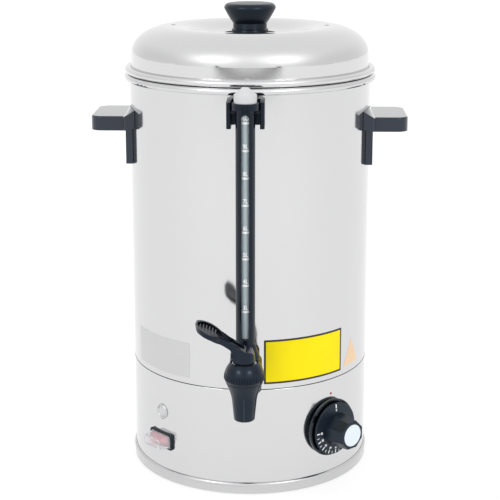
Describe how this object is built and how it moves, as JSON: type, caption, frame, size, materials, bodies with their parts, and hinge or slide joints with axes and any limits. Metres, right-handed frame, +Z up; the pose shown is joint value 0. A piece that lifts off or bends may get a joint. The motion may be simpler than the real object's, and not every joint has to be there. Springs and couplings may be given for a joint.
{
  "type": "hot water urn",
  "caption": "Steel hot water urn on a base housing: lift-off lid, side handles, sight gauge, lever tap, thermostat dial, rocker switch, lamp and heating parts",
  "frame": {"origin": "On the surface the urn stands on, on the tank's axis, under the middle of the feet", "axes": "+Z up along the tank's axis; the tap faces -Y, the handles point along +X and -X, the cable gland faces +Y"},
  "size_m": [0.3, 0.325, 0.4498],
  "materials": {
    "stainless": "satin",
    "stainless_inner": "satin",
    "steel_screw": "bright",
    "black_plastic": "satin",
    "gloss_black": "glossy",
    "white_plastic": "glossy",
    "cap_white": "milky",
    "gauge_glass": "clear",
    "black_rubber": "matte",
    "grey_silicone": "matte",
    "spring_steel": "bright",
    "rocker_red": "translucent",
    "boot_clear": "clear",
    "lamp_bezel": "satin",
    "lamp_lens": "translucent",
    "lamp_body": "satin",
    "element_sheath": "oxidised",
    "brass": "satin",
    "copper": "satin",
    "thermostat_case": "matte",
    "reset_red": "glossy",
    "terminal_white": "satin"
  },
  "bodies": {
    "urn": {"tank": "stainless", "tank_floor": "stainless_inner", "base_housing": "stainless", "base_ring": "stainless", "bottom_plate": "stainless_inner", "base_screws": "steel_screw", "feet": "black_rubber", "panel_nuts": "steel_screw", "gaskets": "grey_silicone", "handle_left": "black_plastic", "handle_right": "black_plastic", "handle_screws": "steel_screw", "tap_body": "black_plastic", "tap_bonnet": "black_plastic", "tap_spring": "spring_steel", "gauge_block": "black_plastic", "shank_nut": "steel_screw", "gauge_cone": "black_plastic", "gauge_seals": "black_rubber", "gauge_glass": "gauge_glass", "gauge_shroud": "black_plastic", "gauge_collar": "black_plastic", "gauge_cap": "cap_white", "gauge_bracket": "black_plastic", "bracket_screws": "steel_screw", "dial_bezel": "gloss_black", "thermostat_body": "thermostat_case", "thermostat_screws": "steel_screw", "thermostat_bulb": "copper", "switch_frame": "gloss_black", "switch_boot": "boot_clear", "lamp_bezel": "lamp_bezel", "lamp_lens": "lamp_lens", "lamp_body": "lamp_body", "blade_terminals": "brass", "heating_element": "element_sheath", "element_fittings": "brass", "element_nuts": "brass", "thermowell": "stainless_inner", "limiter_bulb": "copper", "limiter_body": "thermostat_case", "terminal_block": "terminal_white", "cable_gland": "black_plastic", "gland_cap": "black_plastic", "gland_nut": "black_plastic"},
    "lid": {"lid_shell": "stainless", "lid_skirt": "stainless_inner", "knob_washer": "black_rubber", "lid_knob": "black_plastic", "lid_screw": "steel_screw"},
    "tap_swivel": {"cam_washer": "steel_screw"},
    "tap_stem": {"tap_stem": "steel_screw", "seat_cup": "grey_silicone"},
    "tap_lever": {"tap_lever": "black_plastic", "lever_pin": "steel_screw"},
    "dial": {"dial_knob": "black_plastic", "dial_face_cap": "white_plastic", "thermostat_shaft": "steel_screw"},
    "rocker": {"switch_rocker": "rocker_red"},
    "reset": {"reset_button": "reset_red"}
  },
  "joints": [
    {"name": "lid_lift", "type": "slide", "parent": "urn", "child": "lid", "axis": [0, 0, 1], "range_m": [0, 0.12]},
    {"name": "lever_swivel", "type": "hinge", "parent": "urn", "child": "tap_swivel", "pos_m": [0, -0.172, 0.1589], "axis": [0, 0, 1], "range_deg": [0, 180]},
    {"name": "stem_lift", "type": "slide", "parent": "tap_swivel", "child": "tap_stem", "axis": [0, 0, 1], "range_m": [0, 0.0035], "deforming": ["tap_spring"]},
    {"name": "lever_tilt", "type": "hinge", "parent": "tap_stem", "child": "tap_lever", "pos_m": [0, -0.172, 0.1589], "axis": [0, -1, 0], "range_deg": [0, 25], "stiffness_Nm_per_rad": 0.06, "springref_deg": -34.38},
    {"name": "dial_turn", "type": "hinge", "parent": "urn", "child": "dial", "pos_m": [0.07769, -0.08479, 0.0572], "axis": [0.6756, -0.7373, 0], "range_deg": [-270, 0]},
    {"name": "rocker_tilt", "type": "hinge", "parent": "urn", "child": "rocker", "pos_m": [-0.08045, -0.07878, 0.0404], "axis": [0, 0, -1], "range_deg": [0, 18]},
    {"name": "reset_press", "type": "slide", "parent": "urn", "child": "reset", "axis": [0, 0, 1], "range_m": [0, 0.0015], "stiffness_N_per_m": 400}
  ],
  "couplings": [
    {"joint": "lever_tilt", "follows": "stem_lift", "rad_per_m": 124.67}
  ]
}
